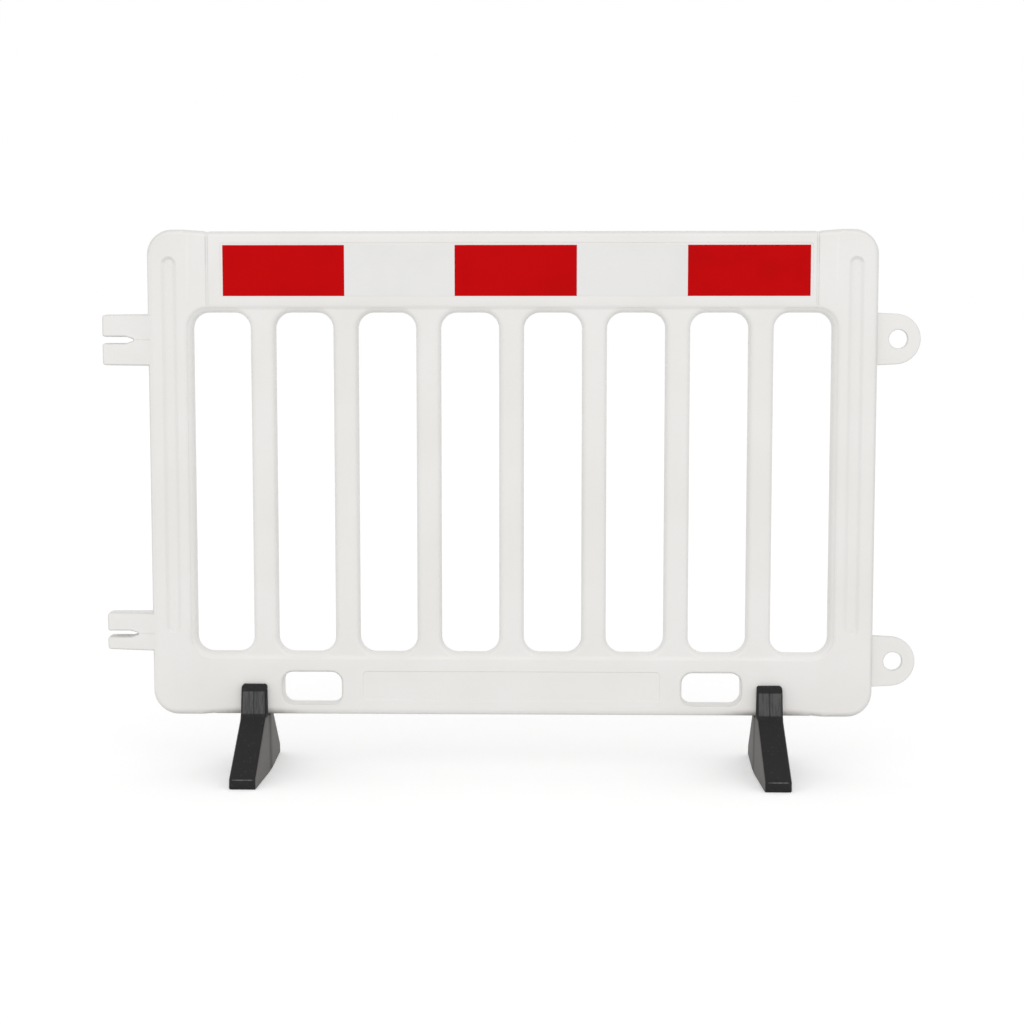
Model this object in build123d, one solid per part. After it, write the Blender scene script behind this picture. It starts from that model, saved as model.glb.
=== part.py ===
# Traffic hoarding panel: a one-piece moulded barrier on two rubber saddle feet.
# Millimetres. X runs along the panel, Y from front (-) to back (+), Z up from the ground.
import os
from math import atan2, cos, degrees, radians, sin

from build123d import *

# Slotted field between the two posts
slot_count = 8
slot_width = 107.0
slot_height = 628.0
slot_corner = 30.0
slot_round = 9.0
bar_width = 44.7
bar_depth = 35.0

# Frame round the slots: posts at the ends, board above, rail below
frame_depth = 44.0
post_width = 81.1
board_height = 146.7
rail_height = 115.5
post_rise = 3.3
post_drop = 1.4
corner_radius = 46.0
edge_round = 10.0
round_steps = 2
rail_clearance = 110.5

# Soft step from the frame's face down to the face of the bars
step_rim = 5.5
step_run = 7.5

# Shoulder where a post meets the board and the rail
shoulder = 29.5
notch_depth = 1.4
notch_run = 5.0
notch_lift = 0.4
foot_notch = 0.6
shoulder_slope = 44.0
foot_slope = 20.0
slope_blend = 100.0
board_end_round = 14.0
notch_round = 6.0
groove_depth = 2.6
groove_radius = 2.7
post_crease_depth = 0.5
post_crease_radius = 10.0
post_crease_offset = 5.5

# Flute down the middle of each post
flute_width = 27.5
flute_floor_width = 15.5
flute_depth = 4.5
flute_from_top = 48.5
flute_from_bottom = 152.5

# Shallow recesses for the films on the board and along the rail
film_recess_depth = 0.8
film_recess_height = 96.7
film_recess_drop = 20.7
film_recess_corner = 4.0
rail_recess_depth = 1.5
rail_recess_height = 56.0
rail_recess_gap = 39.5
rail_recess_corner = 8.0
rail_recess_slant = 1.6
rail_recess_level = 54.5

# Hand windows through the rail
window_width = 110.0
window_height = 61.0
window_corner = 20.0
window_round = 4.0
window_level = 49.5
window_inset = 215.0

# Reflective films
film_thickness = 0.4
film_height = 92.0
film_lift = 0.2
film_shift = 8.0
film_end_margin = 21.0
film_seam = 0.2
film_end_gap = 4.5
red_width = 222.0

# Forks on the left post and lugs on the right post
fork_reach = 84.0
fork_depth = 40.0
fork_straight = 43.0
fork_taper = 16.0
fork_tip_round = 1.2
fork_corner = 6.0
fork_mouth_round = 4.8
fork_throat_round = 14.0
fork_bevel = 2.8
fork_draft = 3.0
fork_root = 16.0
fork_crease_depth = 0.9
fork_crease_radius = 2.0
upper_fork_drop = 200.5
upper_fork_gap = 11.0
upper_fork_ear = 41.0
upper_fork_flare = 1.3
lower_fork_level = 151.3
lower_fork_gap = 10.0
lower_fork_top_ear = 35.0
lower_fork_bottom_ear = 24.6
lower_fork_flare = 3.5
lug_reach = 79.5
lug_height = 92.0
lug_root_height = 97.0
lug_depth = 12.0
lug_bevel = 1.8
lug_hole = 34.0
lug_hole_reach = 39.0
upper_lug_drop = 198.5
lower_lug_level = 102.9

# Rubber saddle feet
foot_inset = 108.8
foot_length = 318.0
foot_width = 50.6
foot_end_width = 49.4
foot_sweep = 4.4
foot_draft = 0.75
foot_bevel = 3.2
sole_bevel = 2.4
toe_height = 19.0
cheek_thickness = 20.0
cheek_batter = 5.0
cheek_rise = 58.0
cheek_bevel = 7.0
cheek_bevel_run = 6.0
knee_rise = 0.5
knee_blend = 7.0
saddle_clearance = 0.3
relief_width = 21.0
relief_depth = 9.0

# Sizes that follow from the ones above
field_width = slot_count * slot_width + (slot_count - 1) * bar_width
half_width = field_width / 2 + post_width
slot_pitch = slot_width + bar_width
face = frame_depth / 2
bar_face = bar_depth / 2
rail_bottom = rail_clearance
slot_bottom = rail_bottom + rail_height
slot_top = slot_bottom + slot_height
slot_middle = (slot_bottom + slot_top) / 2
board_top = slot_top + board_height
post_top = board_top + post_rise
post_bottom = rail_bottom - post_drop
seam_x = field_width / 2 - shoulder
window_x = field_width / 2 - window_inset
foot_x = field_width / 2 - foot_inset
strip_length = 2 * (seam_x - film_end_margin)
white_width = (strip_length - 3 * red_width) / 2
recess_length = strip_length + 2 * film_end_gap
recess_middle = board_top - film_recess_drop - film_recess_height / 2
recess_bottom = recess_middle - film_recess_height / 2
film_middle = recess_bottom + film_lift + film_height / 2


def upright(x, z, y=0.0):
    # Plane facing the front, with its middle at the given place
    return Plane.XZ.offset(-y) * Pos(x, z)


def both_faces(cutter):
    # The same cut on the front and on the back
    return [cutter, mirror(cutter, about=Plane.XZ)]


def panel_outline():
    # Half outline from the middle of the top to the middle of the bottom, with a dip beside each post
    top_half = [
        (0, board_top),
        (seam_x - notch_run, board_top),
        (seam_x, board_top - notch_depth),
        (seam_x + notch_run, board_top + notch_lift),
        (seam_x + shoulder_slope, post_top),
        (half_width, post_top),
    ]
    bottom_half = [
        (half_width, post_bottom),
        (seam_x + foot_slope, post_bottom),
        (seam_x + notch_run, rail_bottom),
        (seam_x, rail_bottom + foot_notch),
        (seam_x - notch_run, rail_bottom),
        (0, rail_bottom),
    ]
    right = make_face(Polyline(top_half + bottom_half, close=True))
    rounds = {1: board_end_round, 2: notch_round, 3: board_end_round, 4: slope_blend, 5: corner_radius,
              6: corner_radius, 7: slope_blend, 8: board_end_round, 9: notch_round, 10: board_end_round}
    corners = top_half + bottom_half
    for index, radius in rounds.items():
        x, z = corners[index]
        vertex = right.vertices().sort_by_distance((x, z, 0))[0]
        right = fillet(vertex, radius)
    return right + mirror(right, about=Plane.YZ)


def rounded_prism(plan, level, radius, spread, steps, draft=0.0):
    # Plan carried from the middle to the front, its end drawn in (spread -1) or flared out (spread 1) in steps
    front = extrude(Plane.XZ * plan, amount=level - radius, taper=draft)
    for step in range(steps):
        start = radians(90 * step / steps)
        end = radians(90 * (step + 1) / steps)
        rise = radius * (sin(end) - sin(start))
        drift = radius * (cos(start) - cos(end))
        front += extrude(front_end(front), amount=rise, taper=-spread * degrees(atan2(drift, rise)))
    return front


def front_end(solid):
    # Flat face that lies furthest to the front
    return solid.faces().sort_by(Axis.Y)[0]


def opening(width, height, corner, radius, level, steps):
    # Cutter for a rectangular hole with rounded rims on both faces
    front = rounded_prism(RectangleRounded(width, height, corner), level, radius, 1, steps)
    front += extrude(front_end(front), amount=radius)
    return front + mirror(front, about=Plane.XZ)


def frame_blank():
    # Slab with its outer edges rounded
    front = rounded_prism(panel_outline(), face, edge_round, -1, round_steps)
    return front + mirror(front, about=Plane.XZ)


def field_step():
    # Bevelled tray that lowers the slotted field to the face of the bars
    drop = face - bar_face
    overrun = 1.5
    sections = []
    for share in (0.0, overrun):
        grow = step_rim + step_run * share
        section = RectangleRounded(field_width + 2 * grow, slot_height + 2 * grow, slot_corner + grow)
        sections.append(upright(0, slot_middle, -(bar_face + drop * share)) * section)
    return loft(Sketch() + sections)


def cut_field(panel):
    # The tray on both faces, then the slots
    for tray in both_faces(field_step()):
        panel -= tray
    slot = opening(slot_width, slot_height, slot_corner, slot_round, bar_face, round_steps)
    for number in range(slot_count):
        x = (number - (slot_count - 1) / 2) * slot_pitch
        panel -= Pos(x, 0, slot_middle) * slot
    return panel


def hand_windows():
    window = opening(window_width, window_height, window_corner, window_round, face, 1)
    return [Pos(side * window_x, 0, rail_bottom + window_level) * window for side in (-1, 1)]


def post_flutes():
    # Tapered stadium-shaped channel on both faces of both posts
    overrun = 1.5
    top = post_top - flute_from_top
    bottom = post_bottom + flute_from_bottom
    x = half_width - post_width / 2
    slant = (flute_width - flute_floor_width) / 2
    sections = []
    for share in (0.0, overrun):
        spread = flute_floor_width + 2 * slant * share
        length = top - bottom - 2 * slant * (1 - share)
        section = Rot(0, 0, 90) * SlotOverall(length, spread)
        place = upright(x, (top + bottom) / 2, -(face - flute_depth * (1 - share)))
        sections.append(place * section)
    right = loft(Sketch() + sections)
    return both_faces(right) + both_faces(mirror(right, about=Plane.YZ))


def tray(width, height, corner, x, z, depth, slant):
    # Shallow recess on the front face with walls that open by the slant
    plan = RectangleRounded(width - 2 * slant, height - 2 * slant, corner - slant)
    floor = upright(x, z, depth - face) * plan
    return extrude(floor, amount=1.5 * depth, taper=-degrees(atan2(slant, depth)))


def board_groove(x, depth, radius):
    # Round groove down both faces of the board, the same distance from both ends
    low = slot_top + step_rim + step_run
    length = board_top - low + radius
    bar = Cylinder(radius, length, align=(Align.CENTER, Align.CENTER, Align.MIN))
    cutter = Pos(x, -(face + radius - depth), low) * bar
    return both_faces(cutter) + both_faces(mirror(cutter, about=Plane.YZ))


def fork(level, gap, top_ear, bottom_ear, top_flare, bottom_flare):
    # Two ears with a slot between them that narrows to a rounded tip, and a crease from there to the post
    tip_x = -(half_width + fork_reach)
    root_x = -(half_width - fork_root)
    top = level + gap / 2 + top_ear
    bottom = level - gap / 2 - bottom_ear
    straight_x = tip_x + fork_straight
    slot_end = straight_x + fork_taper
    outline = [
        (tip_x, top), (root_x, top + top_flare), (root_x, bottom - bottom_flare), (tip_x, bottom),
        (tip_x, level - gap / 2), (straight_x, level - gap / 2), (slot_end, level),
        (straight_x, level + gap / 2), (tip_x, level + gap / 2),
    ]
    rounds = {0: fork_corner, 3: fork_corner, 4: fork_mouth_round, 5: fork_throat_round,
              6: fork_tip_round, 7: fork_throat_round, 8: fork_mouth_round}
    plan = make_face(Polyline(outline, close=True))
    for index, radius in rounds.items():
        x, z = outline[index]
        vertex = plan.vertices().sort_by_distance((x, z, 0))[0]
        plan = fillet(vertex, radius)
    front = rounded_prism(plan, fork_depth / 2, fork_bevel, -1, 1, fork_draft)
    crease = Rot(0, 90, 0) * Cylinder(fork_crease_radius, root_x - slot_end)
    front -= Pos((root_x + slot_end) / 2, fork_crease_depth - fork_crease_radius - fork_depth / 2, level) * crease
    return front + mirror(front, about=Plane.XZ)


def lug(level):
    # Round-ended plate with a hole from front to back
    tip = lug_height / 2
    root = lug_root_height / 2
    root_x = half_width - fork_root
    round_x = half_width + lug_reach - tip
    neck = [(root_x, level + root), (root_x, level - root), (round_x, level - tip), (round_x, level + tip)]
    plate = make_face(Polyline(neck, close=True)) + Pos(round_x, level) * Circle(tip)
    plate -= Pos(half_width + lug_hole_reach, level) * Circle(lug_hole / 2)
    body = extrude(Plane.XZ * plate, amount=lug_depth / 2, both=True)
    rims = [edge for edge in body.edges()
            if abs(abs(edge.center().Y) - lug_depth / 2) < 0.01 and edge.center().X > root_x + 0.01]
    return chamfer(rims, lug_bevel)


def panel_moulding():
    panel = cut_field(frame_blank())
    rail_recess_length = 2 * (window_x - window_width / 2 - rail_recess_gap)
    cuts = hand_windows() + post_flutes()
    cuts += board_groove(seam_x, groove_depth, groove_radius)
    cuts += board_groove(field_width / 2 + post_crease_offset, post_crease_depth, post_crease_radius)
    cuts += both_faces(tray(recess_length, film_recess_height, film_recess_corner,
                            film_shift, recess_middle, film_recess_depth, 0))
    cuts += both_faces(tray(rail_recess_length, rail_recess_height, rail_recess_corner,
                            0, rail_bottom + rail_recess_level, rail_recess_depth, rail_recess_slant))
    for cut in cuts:
        panel -= cut
    panel += fork(post_top - upper_fork_drop, upper_fork_gap, upper_fork_ear, upper_fork_ear,
                  upper_fork_flare, upper_fork_flare)
    panel += fork(post_bottom + lower_fork_level, lower_fork_gap, lower_fork_top_ear, lower_fork_bottom_ear,
                  0, lower_fork_flare)
    panel += lug(post_top - upper_lug_drop)
    panel += lug(post_bottom + lower_lug_level)
    return panel


def film(x, width, side):
    # One rectangle of film on the floor of the board's recess
    floor = face - film_recess_depth
    y = side * (floor + film_thickness / 2)
    return Pos(x, y, film_middle) * Box(width - film_seam, film_thickness, film_height)


def saddle_foot():
    # Side profile with two cheeks round the rail, cut to a drafted plan whose ends sweep outwards
    inner = face + saddle_clearance
    outer = inner + cheek_thickness
    crest = outer - cheek_batter
    top = rail_bottom + cheek_rise
    toe = foot_length / 2
    knee = rail_bottom + knee_rise
    half = [
        (0, 0), (toe, 0), (toe, toe_height), (outer, knee), (crest, top - cheek_bevel),
        (crest - cheek_bevel_run, top), (inner, top), (inner, rail_bottom), (relief_width / 2, rail_bottom),
        (0, rail_bottom - relief_depth),
    ]
    profile = make_face(Polyline(half, close=True))
    bend = profile.vertices().sort_by_distance((outer, knee, 0))[0]
    profile = chamfer(bend, knee_blend)
    profile += mirror(profile, about=Plane.YZ)
    side = extrude(Plane.YZ * profile, amount=foot_width, both=True)
    wide = foot_width / 2
    narrow = foot_end_width / 2
    bow = [
        (wide, inner), (foot_sweep + narrow, toe), (foot_sweep - narrow, toe), (-wide, inner),
        (-wide, -inner), (foot_sweep - narrow, -toe), (foot_sweep + narrow, -toe), (wide, -inner),
    ]
    plan = make_face(Polyline(bow, close=True))
    sole = offset(plan, -sole_bevel, kind=Kind.INTERSECTION)
    block = extrude(sole, amount=sole_bevel, taper=-45)
    block += extrude(Pos(0, 0, sole_bevel) * plan, amount=top - sole_bevel, taper=foot_draft)
    foot = side & block
    cross_edges = [(toe, toe_height), (crest, top - cheek_bevel), (crest - cheek_bevel_run, top)]
    rims = []
    for edge in foot.edges():
        middle = edge.center()
        runs_across = abs(edge.tangent_at(0.5).X) > 0.9
        on_corner = any(abs(abs(middle.Y) - y) < 0.5 and abs(middle.Z - z) < 0.5 for y, z in cross_edges)
        if middle.Z > sole_bevel + 0.01 and abs(middle.Y) > inner + 0.5 and (on_corner or not runs_across):
            rims.append(edge)
    return chamfer(rims, foot_bevel)


def main():
    os.makedirs("parts", exist_ok=True)
    nodes = {"panel_moulding": panel_moulding()}
    half_red = red_width / 2
    strips = {
        "red_strip_{}_left": (-(half_red + white_width + half_red), red_width),
        "white_strip_{}_left": (-(half_red + white_width / 2), white_width),
        "red_strip_{}_centre": (0.0, red_width),
        "white_strip_{}_right": (half_red + white_width / 2, white_width),
        "red_strip_{}_right": (half_red + white_width + half_red, red_width),
    }
    for side, label in ((-1, "front"), (1, "rear")):
        for name, (x, width) in strips.items():
            nodes[name.format(label)] = film(x + film_shift, width, side)
    foot = saddle_foot()
    nodes["foot_left"] = Pos(-foot_x, 0, 0) * Rot(0, 0, 180) * foot
    nodes["foot_right"] = Pos(foot_x, 0, 0) * foot
    for name, shape in nodes.items():
        export_step(shape, f"parts/{name}.step")
        print(name, len(shape.solids()), round(shape.volume))


main()
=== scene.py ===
import math

import bmesh
import bpy
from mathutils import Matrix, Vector


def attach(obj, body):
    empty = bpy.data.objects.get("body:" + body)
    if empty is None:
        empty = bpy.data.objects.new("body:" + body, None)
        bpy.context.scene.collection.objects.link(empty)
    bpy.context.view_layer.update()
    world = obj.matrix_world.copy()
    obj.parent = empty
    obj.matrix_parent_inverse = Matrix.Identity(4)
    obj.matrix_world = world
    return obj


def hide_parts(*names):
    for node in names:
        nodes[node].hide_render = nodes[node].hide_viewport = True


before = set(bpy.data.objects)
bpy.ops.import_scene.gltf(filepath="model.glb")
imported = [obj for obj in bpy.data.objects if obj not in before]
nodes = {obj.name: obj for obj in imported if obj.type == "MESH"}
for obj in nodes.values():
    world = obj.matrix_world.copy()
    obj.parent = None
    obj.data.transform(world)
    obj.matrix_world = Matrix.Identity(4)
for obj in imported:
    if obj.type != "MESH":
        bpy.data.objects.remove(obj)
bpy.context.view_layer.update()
print("frame loaded:", len(nodes), "nodes")


# Shader wiring
class Wire:
    # an output socket that takes part in sums like a number
    def __init__(self, tree, socket):
        self.tree = tree
        self.socket = socket

    def put(self, kind, settings=None, values=None, out=0):
        made = self.tree.nodes.new(kind)
        for name, value in (settings or {}).items():
            setattr(made, name, value)
        for key, value in (values or {}).items():
            if isinstance(value, Wire):
                self.tree.links.new(value.socket, made.inputs[key])
            else:
                made.inputs[key].default_value = value
        return Wire(self.tree, made.outputs[out])

    def calc(self, operation, first, second=0.0):
        return self.put("ShaderNodeMath", {"operation": operation}, {0: first, 1: second})

    def __add__(self, other):
        return self.calc("ADD", self, other)

    def __radd__(self, other):
        return self.calc("ADD", other, self)

    def __sub__(self, other):
        return self.calc("SUBTRACT", self, other)

    def __rsub__(self, other):
        return self.calc("SUBTRACT", other, self)

    def __mul__(self, other):
        return self.calc("MULTIPLY", self, other)

    def __rmul__(self, other):
        return self.calc("MULTIPLY", other, self)

    def __truediv__(self, other):
        return self.calc("DIVIDE", self, other)

    def __abs__(self):
        return self.calc("ABSOLUTE", self)

    def floor(self):
        return self.calc("FLOOR", self)

    def most(self, other):
        return self.calc("MAXIMUM", self, other)

    def step(self, low, high):
        # smooth rise from 0 at low to 1 at high
        return self.put("ShaderNodeMapRange", {"interpolation_type": "SMOOTHSTEP"},
                        {"Value": self, "From Min": low, "From Max": high})

    def noise(self, scale, detail=2.0, roughness=0.5):
        return self.put("ShaderNodeTexNoise", {},
                        {"Vector": self, "Scale": scale, "Detail": detail, "Roughness": roughness})

    def axes(self):
        return [self.put("ShaderNodeSeparateXYZ", {}, {"Vector": self}, axis) for axis in range(3)]

    def blend(self, first, second, share):
        # two colours, plain or wired, mixed by a share; 6, 7 and 2 are the node's colour sockets
        pair = [end if isinstance(end, Wire) else (*end, 1.0) for end in (first, second)]
        return self.put("ShaderNodeMix", {"data_type": "RGBA"},
                        {"Factor": share, 6: pair[0], 7: pair[1]}, 2)

    def bump(self, height, strength, distance, under=None):
        values = {"Strength": strength, "Distance": distance, "Height": height}
        if under is not None:
            values["Normal"] = under
        return self.put("ShaderNodeBump", {}, values)


def startMaterial(name, constants):
    material = bpy.data.materials.new(name)
    material.use_nodes = True
    tree = material.node_tree
    shader = tree.nodes["Principled BSDF"]
    for socket, value in constants.items():
        shader.inputs[socket].default_value = value
    coords = Wire(tree, tree.nodes.new("ShaderNodeTexCoord").outputs["Object"])
    return material, shader, coords


def surfaceFacing(material):
    # how far the surface faces along each axis, whichever way
    tree = material.node_tree
    facing = Wire(tree, tree.nodes.new("ShaderNodeTexCoord").outputs["Normal"])
    return [abs(axis) for axis in facing.axes()]


def patchy(coords, scale):
    # uneven strength around 1 for the painted edge shade and the painted rail shade
    return 0.75 + 0.5 * coords.noise(scale, 3.0)


def feed(shader, socket, wire):
    wire.tree.links.new(wire.socket, shader.inputs[socket])


# Panel plastic
plasticSettings = {
    "gloss": {"IOR": 1.5, "Specular IOR Level": 0.5},
    "white": (0.830, 0.820, 0.801),
    "warmWhite": (0.808, 0.793, 0.767),
    "cloudScale": 5.0,
    "cloudRange": (0.35, 0.7),
    # painted edge shade: its colour, share, patch scale and turn
    "paintedEdgeShade": (0.60, 0.588, 0.568),
    "paintedEdgeShadeShare": 0.35,
    "paintedEdgeShadeScale": 60.0,
    "paintedEdgeShadeTurn": (0.02, 0.4),            # turn away from the front where the painted edge shade starts and is full
    "fieldHalfWidth": 0.602,
    "fieldMiddle": 0.5335,
    "fieldHalfHeight": 0.404,
    "fieldFade": 0.008,
    # painted shade under the rail and painted shadow by the feet: colour, patch scale, shares,
    # reach and heights
    "paintedRailShade": (0.30, 0.275, 0.25),
    "paintedRailShadeScale": 95.0,
    "paintedRailShadeShare": 0.17,                 # along the whole rail
    "paintedFootShadowShare": 0.78,             # more of it by a foot
    "paintedFootShadowAt": 0.47565,                 # middle of a foot
    "paintedFootShadowReach": (0.022, 0.105),
    "paintedRailShadeHeight": 0.012,
    "paintedFootShadowHeight": 0.005,
    "railBottom": 0.1105,
    "grainScale": 1400.0,
    "grainBump": (0.12, 0.0002),        # strength and distance
    "waveScale": 11.0,
    "waveBump": (0.25, 0.002),
    "roughness": 0.3,
    "roughGrain": 0.1,
    "roughCloud": 0.08,
}


def panelPlastic(s):
    material, shader, coords = startMaterial("panelPlastic", s["gloss"])
    x, _, z = coords.axes()
    share = coords.noise(s["cloudScale"], 3.0).step(*s["cloudRange"])
    tone = coords.blend(s["white"], s["warmWhite"], share)
    # painted shade on the edges outside the slotted field, where the surface turns away from the
    # front, uneven in patches
    _, forward, _ = surfaceFacing(material)
    wide, high, fade = s["fieldHalfWidth"], s["fieldHalfHeight"], s["fieldFade"]
    outside = abs(x).step(wide, wide + fade).most(abs(z - s["fieldMiddle"]).step(high, high + fade))
    edge = (1.0 - forward).step(*s["paintedEdgeShadeTurn"]) * outside
    tone = coords.blend(tone, s["paintedEdgeShade"], s["paintedEdgeShadeShare"] * edge * patchy(coords, s["paintedEdgeShadeScale"]))
    # painted shade along the lower edge of the rail, and beside each foot a stronger painted shadow
    # and reflection of the dark foot on it
    footShadowNear = 1.0 - abs(abs(x) - s["paintedFootShadowAt"]).step(*s["paintedFootShadowReach"])
    top = s["railBottom"] + s["paintedRailShadeHeight"] + s["paintedFootShadowHeight"] * footShadowNear
    low = 1.0 - z.step(s["railBottom"], top)
    paintedRailShadeMask = low * (s["paintedRailShadeShare"] + s["paintedFootShadowShare"] * footShadowNear) * patchy(coords, s["paintedRailShadeScale"])
    tone = coords.blend(tone, s["paintedRailShade"], paintedRailShadeMask)
    grain = coords.noise(s["grainScale"], 2.0)
    waves = coords.noise(s["waveScale"], 1.0)
    bumps = coords.bump(waves, *s["waveBump"])
    bumps = coords.bump(grain, *s["grainBump"], bumps)
    feed(shader, "Base Color", tone)
    feed(shader, "Roughness", s["roughness"] + s["roughGrain"] * grain + s["roughCloud"] * share)
    feed(shader, "Normal", bumps)
    return material


# Reflective film
filmSettings = {
    "gloss": {"IOR": 1.49, "Specular IOR Level": 0.03},
    "red": (0.56, 0.0016, 0.0026),
    "redDeep": (0.47, 0.0012, 0.002),
    "white": (0.825, 0.82, 0.807),
    "whiteDeep": (0.785, 0.78, 0.766),
    "cell": 0.0035,
    "wall": (0.04, 0.10),               # from full to nothing, in cells
    "wallShare": 0.35,
    "wallBump": (0.15, 0.0001),
    "streakScale": 14.0,
    "streakRange": (0.4, 0.75),
    "streakShare": 0.5,
    "roughness": 0.36,
    "roughStreak": 0.12,
}


def hexWalls(coords, cell, wall):
    # 1 on the walls of a honeycomb in the XZ plane, 0 inside its cells
    x, _, z = coords.axes()
    tall = math.sqrt(3)
    gaps = []
    for shift in (0.0, 0.5):
        u = x / cell + shift
        v = z / cell + shift * tall
        u = abs(u - u.floor() - 0.5)
        v = abs(v - tall * (v / tall).floor() - tall / 2)
        gaps.append(0.5 - u.most(0.5 * u + (tall / 2) * v))
    return 1.0 - gaps[0].most(gaps[1]).step(*wall)


def reflectiveFilm(name, bright, deep, s):
    material, shader, coords = startMaterial(name, s["gloss"])
    walls = hexWalls(coords, s["cell"], s["wall"])
    streaks = coords.noise(s["streakScale"], 3.0)
    share = s["wallShare"] * walls + s["streakShare"] * streaks.step(*s["streakRange"])
    feed(shader, "Base Color", coords.blend(s[bright], s[deep], share))
    feed(shader, "Roughness", s["roughness"] + s["roughStreak"] * streaks)
    feed(shader, "Normal", coords.bump(walls, *s["wallBump"]))
    return material


# Foot rubber
rubberSettings = {
    "gloss": {"IOR": 1.5, "Specular IOR Level": 0.15},
    "black": (0.020, 0.020, 0.020),
    "worn": (0.086, 0.086, 0.087),
    # colour of the painted light on the sides
    "paintedSideLight": (0.175, 0.167, 0.160),
    # colour of the painted highlight on the toe's upper edge
    "paintedToeHighlight": (0.19, 0.185, 0.18),
    "middle": 0.47565,
    "sweep": 0.0044,                    # the toes lie this much further out
    "cheekFacing": (0.9, 0.99),
    "cheekLow": (0.104, 0.114),
    "cheekHigh": (0.155, 0.158),
    "cheekShare": 0.5,
    "cheekStreak": 0.8,
    "crease": (0.0002, 0.0011),
    # painted side light: facing, top, shares and patches
    "paintedSideLightFacing": (0.6, 0.95),
    "paintedSideLightTop": (0.104, 0.112),
    "paintedSideLightShare": 0.66,
    "paintedSideLightToe": 0.24,
    "paintedSideLightPatch": (0.8, 0.4),            # least strength, and how much clouds add
    "ridge": (0.0213, 0.0233),
    # painted shade at the middle of the sides under the rail
    "paintedShelterShade": (0.0025, 0.0075),
    "paintedShelterShadeShare": 0.6,
    "toeEdge": 0.0175,
    "toeEdgeFade": (0.0004, 0.0014),
    "toeRun": (0.152, 0.154),
    "toeHalfWidth": (0.016, 0.020),
    "paintedToeHighlightPatch": (0.3, 0.7),
    "paintedToeHighlightShare": 0.7,
    "streakScale": 230.0,
    "streakShape": (1, 1, 0.08),        # drawn out along Z
    "streakRange": (0.3, 0.7),
    "cloudScale": 38.0,
    "speckScale": 210.0,
    "speckRange": (0.62, 0.75),
    "speckShare": 0.3,
    "grainScale": 620.0,
    "grainBump": (0.35, 0.0004),
    "roughness": 0.58,
    "roughCloud": 0.2,
}


def footRubber(s):
    material, shader, coords = startMaterial("footRubber", s["gloss"])
    sideways, forward, _ = surfaceFacing(material)
    x, y, z = coords.axes()
    run = abs(y)
    across = abs(abs(x) - s["middle"])
    acrossToe = abs(abs(x) - (s["middle"] + s["sweep"]))
    upright = coords.put("ShaderNodeVectorMath", {"operation": "MULTIPLY"},
                         {0: coords, 1: s["streakShape"]})
    grain = coords.noise(s["grainScale"], 4.0, 0.65)
    clouds = coords.noise(s["cloudScale"], 4.0, 0.6)
    streaks = upright.noise(s["streakScale"], 3.0, 0.6).step(*s["streakRange"])
    specks = coords.noise(s["speckScale"], 2.0).step(*s["speckRange"])
    # the cheeks are rubbed grey in streaks by handling, with a dark crease down their middle
    cheek = forward.step(*s["cheekFacing"]) * z.step(*s["cheekLow"])
    cheek = cheek * (1.0 - z.step(*s["cheekHigh"])) * across.step(*s["crease"])
    cheek = cheek * (s["cheekShare"] + s["cheekStreak"] * streaks)
    tone = coords.blend(s["black"], s["worn"], cheek)
    # painted light: below the rail the sideways faces are painted paler, more beyond the ridges
    # towards toe and heel, in uneven clouds, with painted shade at the middle under the rail
    paintedFacetLight = s["paintedSideLightShare"] + s["paintedSideLightToe"] * run.step(*s["ridge"])
    paintedShelterShade = 1.0 - run.step(*s["paintedShelterShade"])
    side = sideways.step(*s["paintedSideLightFacing"]) * (1.0 - z.step(*s["paintedSideLightTop"]))
    side = side * paintedFacetLight * (1.0 - s["paintedShelterShadeShare"] * paintedShelterShade)
    least, more = s["paintedSideLightPatch"]
    tone = coords.blend(tone, s["paintedSideLight"], side * (least + more * clouds))
    # painted highlight along the upper edge of the toe, streaky along its length
    edge = (1.0 - abs(z - s["toeEdge"]).step(*s["toeEdgeFade"])) * run.step(*s["toeRun"])
    least, more = s["paintedToeHighlightPatch"]
    edge = edge * (1.0 - acrossToe.step(*s["toeHalfWidth"])) * (least + more * streaks)
    tone = coords.blend(tone, s["paintedToeHighlight"], s["paintedToeHighlightShare"] * edge)
    tone = coords.blend(tone, s["worn"], s["speckShare"] * specks)
    feed(shader, "Base Color", tone)
    feed(shader, "Roughness", s["roughness"] + s["roughCloud"] * clouds)
    feed(shader, "Normal", coords.bump(grain, *s["grainBump"]))
    return material


plastic = panelPlastic(plasticSettings)
redFilm = reflectiveFilm("redFilm", "red", "redDeep", filmSettings)
whiteFilm = reflectiveFilm("whiteFilm", "white", "whiteDeep", filmSettings)
rubber = footRubber(rubberSettings)
print("materials ready")


# Helpers for pieces
def addObject(name, data):
    item = bpy.data.objects.new(name, data)
    bpy.context.scene.collection.objects.link(item)
    return item


def settle(piece):
    # the evaluated shape becomes the piece's own plain mesh
    depsgraph = bpy.context.evaluated_depsgraph_get()
    piece.data = bpy.data.meshes.new_from_object(piece.evaluated_get(depsgraph),
                                                 preserve_all_data_layers=True, depsgraph=depsgraph)
    piece.modifiers.clear()


def edgeMiddle(edge):
    return (edge.verts[0].co + edge.verts[1].co) / 2


def dress(piece, material, body, slot, *replaced):
    piece.data.materials.clear()
    piece.data.materials.append(material)
    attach(piece, body)
    if replaced:
        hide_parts(*replaced)


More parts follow.
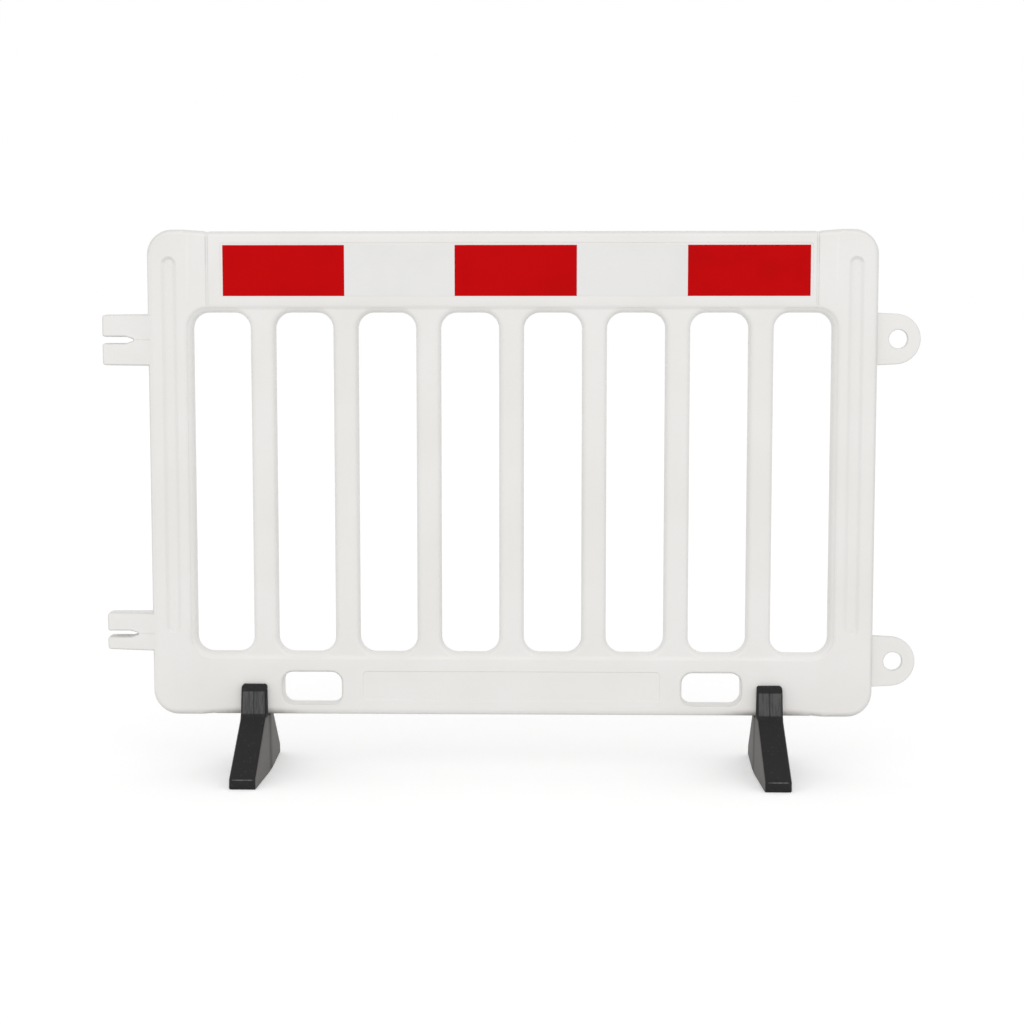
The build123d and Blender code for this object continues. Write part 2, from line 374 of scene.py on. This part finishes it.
# Smooth copies of the moulded nodes
smoothSettings = {
    "mergeDistance": 2e-6,
    "flatAngle": 0.01,                  # radians, under which faces are joined
    "sharpAngle": 50,                   # degrees, over which an edge stays sharp
    "crispAngle": 30,                   # the same in the crisp places
    "recessHalfLength": 0.29,
    "recessLow": 0.130,
    "recessHigh": 0.200,
    "fluteMiddle": 0.6250,
    "fluteHalfWidth": 0.0160,
    "fluteEndLow": 0.938,
    "fluteEndHigh": 0.958,
}


def inRailRecess(spot, s):
    return abs(spot.x) < s["recessHalfLength"] and s["recessLow"] < spot.z < s["recessHigh"]


def atFluteTop(spot, s):
    across = abs(abs(spot.x) - s["fluteMiddle"])
    return across < s["fluteHalfWidth"] and s["fluteEndLow"] < spot.z < s["fluteEndHigh"]


def smoothCopy(nodeName, pieceName, s):
    mesh = bpy.data.meshes.new(pieceName)
    work = bmesh.new()
    work.from_mesh(nodes[nodeName].data)
    bmesh.ops.remove_doubles(work, verts=work.verts, dist=s["mergeDistance"])
    bmesh.ops.dissolve_limit(work, angle_limit=s["flatAngle"], use_dissolve_boundaries=False,
                             verts=work.verts, edges=work.edges, delimit=set())
    for flat in work.faces:
        flat.smooth = True
    # the shallow step round the rail's recess and the flutes' upper ends stay crisp
    for edge in work.edges:
        spot = edgeMiddle(edge)
        crisp = inRailRecess(spot, s) or atFluteTop(spot, s)
        limit = math.radians(s["crispAngle"] if crisp else s["sharpAngle"])
        edge.smooth = edge.calc_face_angle(0.0) < limit
    work.to_mesh(mesh)
    work.free()
    piece = addObject(pieceName, mesh)
    even = piece.modifiers.new("even", "WEIGHTED_NORMAL")
    even.keep_sharp = True
    settle(piece)
    return piece


panel = smoothCopy("panel_moulding", "panelMoulding", smoothSettings)
leftFoot = smoothCopy("foot_left", "leftFoot", smoothSettings)
rightFoot = smoothCopy("foot_right", "rightFoot", smoothSettings)
print("moulded pieces copied:", len(panel.data.polygons), "panel faces")


# Mould lines, swept along the section where the two halves of a mould met
lineSettings = {
    "sides": 6,
    "panelRadius": 0.00045,
    "panelHalfWidth": 0.59,             # the line runs in the slots and windows, not outside
    "panelLow": 0.12,
    "panelHigh": 0.86,
    "footRadius": 0.0005,
    "cheekLow": 0.108,                  # the line runs on the outer sides of the cheeks
    "cheekOut": 0.0235,
}


def lineTree():
    tree = bpy.data.node_groups.new("mouldLine", "GeometryNodeTree")
    face = tree.interface
    face.new_socket("Geometry", in_out="INPUT", socket_type="NodeSocketGeometry")
    radius = face.new_socket("Radius", in_out="INPUT", socket_type="NodeSocketFloat")
    sides = face.new_socket("Sides", in_out="INPUT", socket_type="NodeSocketInt")
    finish = face.new_socket("Finish", in_out="INPUT", socket_type="NodeSocketMaterial")
    face.new_socket("Geometry", in_out="OUTPUT", socket_type="NodeSocketGeometry")
    start = tree.nodes.new("NodeGroupInput")
    path = tree.nodes.new("GeometryNodeMeshToCurve")
    ring = tree.nodes.new("GeometryNodeCurvePrimitiveCircle")
    sweep = tree.nodes.new("GeometryNodeCurveToMesh")
    sweep.inputs["Fill Caps"].default_value = True
    real = tree.nodes.new("GeometryNodeRealizeInstances")
    coat = tree.nodes.new("GeometryNodeSetMaterial")
    end = tree.nodes.new("NodeGroupOutput")
    join = tree.links.new
    join(start.outputs["Geometry"], path.inputs["Mesh"])
    join(start.outputs["Radius"], ring.inputs["Radius"])
    join(start.outputs["Sides"], ring.inputs["Resolution"])
    join(path.outputs["Curve"], sweep.inputs["Curve"])
    join(ring.outputs["Curve"], sweep.inputs["Profile Curve"])
    join(sweep.outputs["Mesh"], real.inputs["Geometry"])
    join(real.outputs["Geometry"], coat.inputs["Geometry"])
    join(start.outputs["Finish"], coat.inputs["Material"])
    join(coat.outputs["Geometry"], end.inputs["Geometry"])
    return tree, radius.identifier, sides.identifier, finish.identifier


lineGroup, radiusKey, sidesKey, finishKey = lineTree()


def mouldLine(source, pieceName, point, normal, wanted, radius, material):
    # cut the source by a plane and sweep a fine bead along the wanted part of the section
    work = bmesh.new()
    work.from_mesh(source.data)
    everything = work.verts[:] + work.edges[:] + work.faces[:]
    cut = bmesh.ops.bisect_plane(work, geom=everything, plane_co=point, plane_no=normal)["geom_cut"]
    keptEdges = {item for item in cut
                 if isinstance(item, bmesh.types.BMEdge) and wanted(edgeMiddle(item), lineSettings)}
    keptVerts = {vert for edge in keptEdges for vert in edge.verts}
    spareEdges = [edge for edge in work.edges if edge not in keptEdges]
    bmesh.ops.delete(work, geom=spareEdges, context="EDGES_FACES")
    spareVerts = [vert for vert in work.verts if vert not in keptVerts]
    bmesh.ops.delete(work, geom=spareVerts, context="VERTS")
    mesh = bpy.data.meshes.new(pieceName)
    work.to_mesh(mesh)
    work.free()
    piece = addObject(pieceName, mesh)
    sweep = piece.modifiers.new("mouldLine", "NODES")
    sweep.node_group = lineGroup
    sweep[radiusKey] = radius
    sweep[sidesKey] = lineSettings["sides"]
    sweep[finishKey] = material
    settle(piece)
    return piece


def insidePanel(spot, s):
    return abs(spot.x) < s["panelHalfWidth"] and s["panelLow"] < spot.z < s["panelHigh"]


def onCheek(spot, s):
    return spot.z > s["cheekLow"] and abs(spot.y) > s["cheekOut"]


panelLine = mouldLine(panel, "panelMouldLine", (0, 0, 0), (0, 1, 0), insidePanel,
                      lineSettings["panelRadius"], plastic)
dress(panel, plastic, "panel", "panel_plastic", "panel_moulding")
dress(panelLine, plastic, "panel", "panel_plastic")

for foot, side, body, node in ((leftFoot, -1, "left_foot", "foot_left"),
                               (rightFoot, 1, "right_foot", "foot_right")):
    footMiddle = (side * rubberSettings["middle"], 0, 0)
    footLine = mouldLine(foot, foot.name + "Line", footMiddle, (1, 0, 0), onCheek,
                         lineSettings["footRadius"], rubber)
    dress(foot, rubber, body, "foot_rubber", node)
    dress(footLine, rubber, body, "foot_rubber")
print("mould lines swept")

# Films keep their solids
for name, node in nodes.items():
    if "_strip_" in name:
        node.data.materials.clear()
        node.data.materials.append(redFilm if name.startswith("red") else whiteFilm)
print("films covered")

# Floor, light and camera
stageSettings = {
    "white": (1, 1, 1, 1),
    "floorHalf": 30.0,
    "floorGrey": (0.85, 0.85, 0.85, 1),
    "floorGlow": 0.248,
    "worldLevel": 0.83,
}


def seenRays(tree):
    # 1 for rays that show the studio, straight or in a gloss
    path = tree.nodes.new("ShaderNodeLightPath")
    seen = Wire(tree, path.outputs["Is Camera Ray"])
    for other in ("Is Glossy Ray", "Is Transmission Ray"):
        seen = seen.most(Wire(tree, path.outputs[other]))
    return seen


def whiteFloor(s):
    half = s["floorHalf"]
    corners = [(-half, -half, 0), (half, -half, 0), (half, half, 0), (-half, half, 0)]
    mesh = bpy.data.meshes.new("floor")
    mesh.from_pydata(corners, [], [(0, 1, 2, 3)])
    floor = addObject("floor", mesh)
    material = bpy.data.materials.new("floorPaper")
    material.use_nodes = True
    tree = material.node_tree
    tree.nodes.clear()
    out = tree.nodes.new("ShaderNodeOutputMaterial")
    seen = seenRays(tree)
    paper = seen.put("ShaderNodeBsdfDiffuse", {}, {"Color": s["floorGrey"]})
    glow = seen.put("ShaderNodeEmission", {}, {"Color": s["white"], "Strength": s["floorGlow"]})
    both = seen.put("ShaderNodeAddShader", {}, {0: paper, 1: glow})
    mixed = seen.put("ShaderNodeMixShader", {}, {"Fac": seen, 1: paper, 2: both})
    tree.links.new(mixed.socket, out.inputs["Surface"])
    mesh.materials.append(material)


def whiteWorld(s):
    world = bpy.data.worlds.new("studio")
    bpy.context.scene.world = world
    world.use_nodes = True
    tree = world.node_tree
    background = tree.nodes["Background"]
    background.inputs["Color"].default_value = s["white"]
    feed(background, "Strength", s["worldLevel"] + (1.0 - s["worldLevel"]) * seenRays(tree))


lampSettings = {
    "from": (0.04, -0.89, 0.45),
    "away": 3.0,
    "power": 0.62,
    "spread": 60.0,
}


def keyLamp(s):
    data = bpy.data.lights.new("key", "SUN")
    data.energy = s["power"]
    data.angle = math.radians(s["spread"])
    item = addObject("key", data)
    item.location = s["away"] * Vector(s["from"])
    item.rotation_euler = Vector(s["from"]).to_track_quat("Z", "Y").to_euler()


cameraSettings = {
    "at": (0.0861, -3.6739, 0.8391),
    "pitchDown": 5.47,
    "turnLeft": 1.33,
    "sensorWidth": 36.0,
    "focalPixels": 1999.7,
    "imagePixels": 1024,
}


def photoCamera(s):
    data = bpy.data.cameras.new("photoCamera")
    data.sensor_width = s["sensorWidth"]
    data.lens = s["sensorWidth"] * s["focalPixels"] / s["imagePixels"]
    item = addObject("photoCamera", data)
    item.location = s["at"]
    item.rotation_euler = (math.radians(90 - s["pitchDown"]), 0, math.radians(s["turnLeft"]))
    bpy.context.scene.camera = item


whiteFloor(stageSettings)
whiteWorld(stageSettings)
keyLamp(lampSettings)
photoCamera(cameraSettings)
bpy.context.scene.view_settings.view_transform = "Standard"
print("stage, lamp and camera set")
